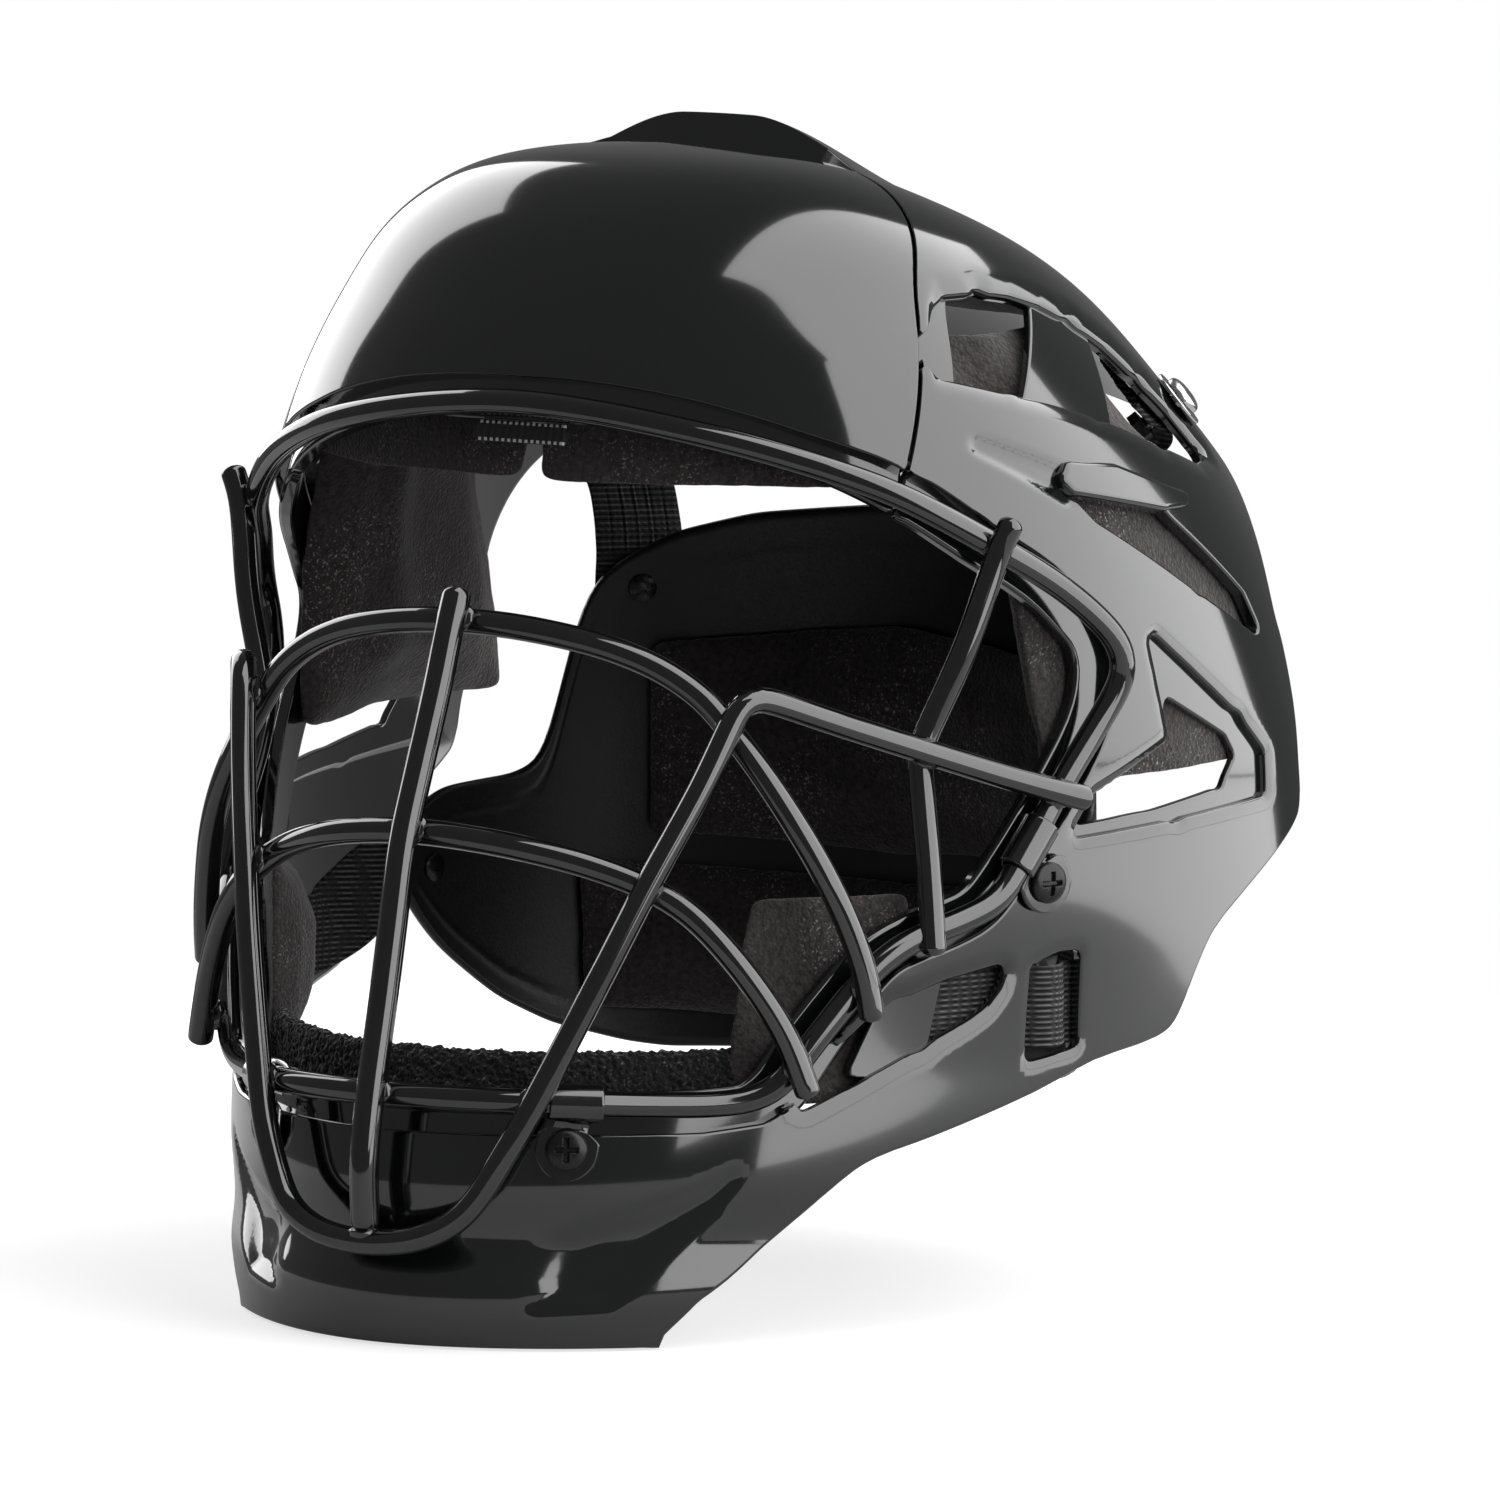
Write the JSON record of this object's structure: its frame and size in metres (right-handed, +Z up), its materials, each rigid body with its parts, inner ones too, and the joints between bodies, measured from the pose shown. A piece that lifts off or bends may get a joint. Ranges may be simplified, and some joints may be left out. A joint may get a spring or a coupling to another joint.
{
  "type": "umpire helmet",
  "caption": "Hockey-style umpire helmet with a glossy two-piece shell, welded wire face cage, soft liner and a back plate hung on elastic straps.",
  "frame": {"origin": "where the wearer's head meets the crown pad, inside the top of the shell", "axes": "-Y is where the wearer looks, +X is the wearer's left, +Z is up"},
  "size_m": [0.2448, 0.247, 0.2703],
  "materials": {
    "shell_gloss": "gloss",
    "cage_wire": "semi-gloss powder coat",
    "clip_metal": "satin",
    "screw_black": "black oxide",
    "bright_metal": "plated",
    "bumper_rubber": "matte",
    "liner_fabric": "brushed knit",
    "terry_fabric": "terry",
    "plate_plastic": "satin",
    "strap_elastic": "ribbed weave"
  },
  "bodies": {
    "helmet": {"main_shell": "shell_gloss", "brow_panel": "shell_gloss", "perimeter_wire": "cage_wire", "u_bar": "cage_wire", "upper_bar": "cage_wire", "lower_bar": "cage_wire", "centre_bar": "cage_wire", "side_bar_left": "cage_wire", "side_bar_right": "cage_wire", "chin_clip_left": "clip_metal", "chin_clip_right": "clip_metal", "side_clip_left": "clip_metal", "side_clip_right": "clip_metal", "clip_screws": "screw_black", "clip_nuts": "bright_metal", "brow_bumper": "bumper_rubber", "brow_pad_left": "liner_fabric", "brow_pad_right": "liner_fabric", "crown_pad": "liner_fabric", "side_pad_left": "liner_fabric", "side_pad_right": "liner_fabric", "jaw_pad_left": "liner_fabric", "jaw_pad_right": "liner_fabric", "chin_pad": "terry_fabric", "side_strap_left": "strap_elastic", "side_strap_right": "strap_elastic", "top_strap_left": "strap_elastic", "top_strap_right": "strap_elastic", "snap_screws": "bright_metal", "snap_washers": "bright_metal", "snap_nuts": "bright_metal"},
    "back_plate": {"back_plate": "plate_plastic", "plate_pad": "liner_fabric", "nape_pad": "liner_fabric", "plate_rivets": "bright_metal"}
  },
  "joints": [
    {"name": "plate_slide", "type": "slide", "parent": "helmet", "child": "back_plate", "axis": [0, 1, 0], "range_m": [0, 0.03], "stiffness_N_per_m": 220, "deforming": ["side_strap_left", "side_strap_right", "top_strap_left", "top_strap_right"]}
  ]
}
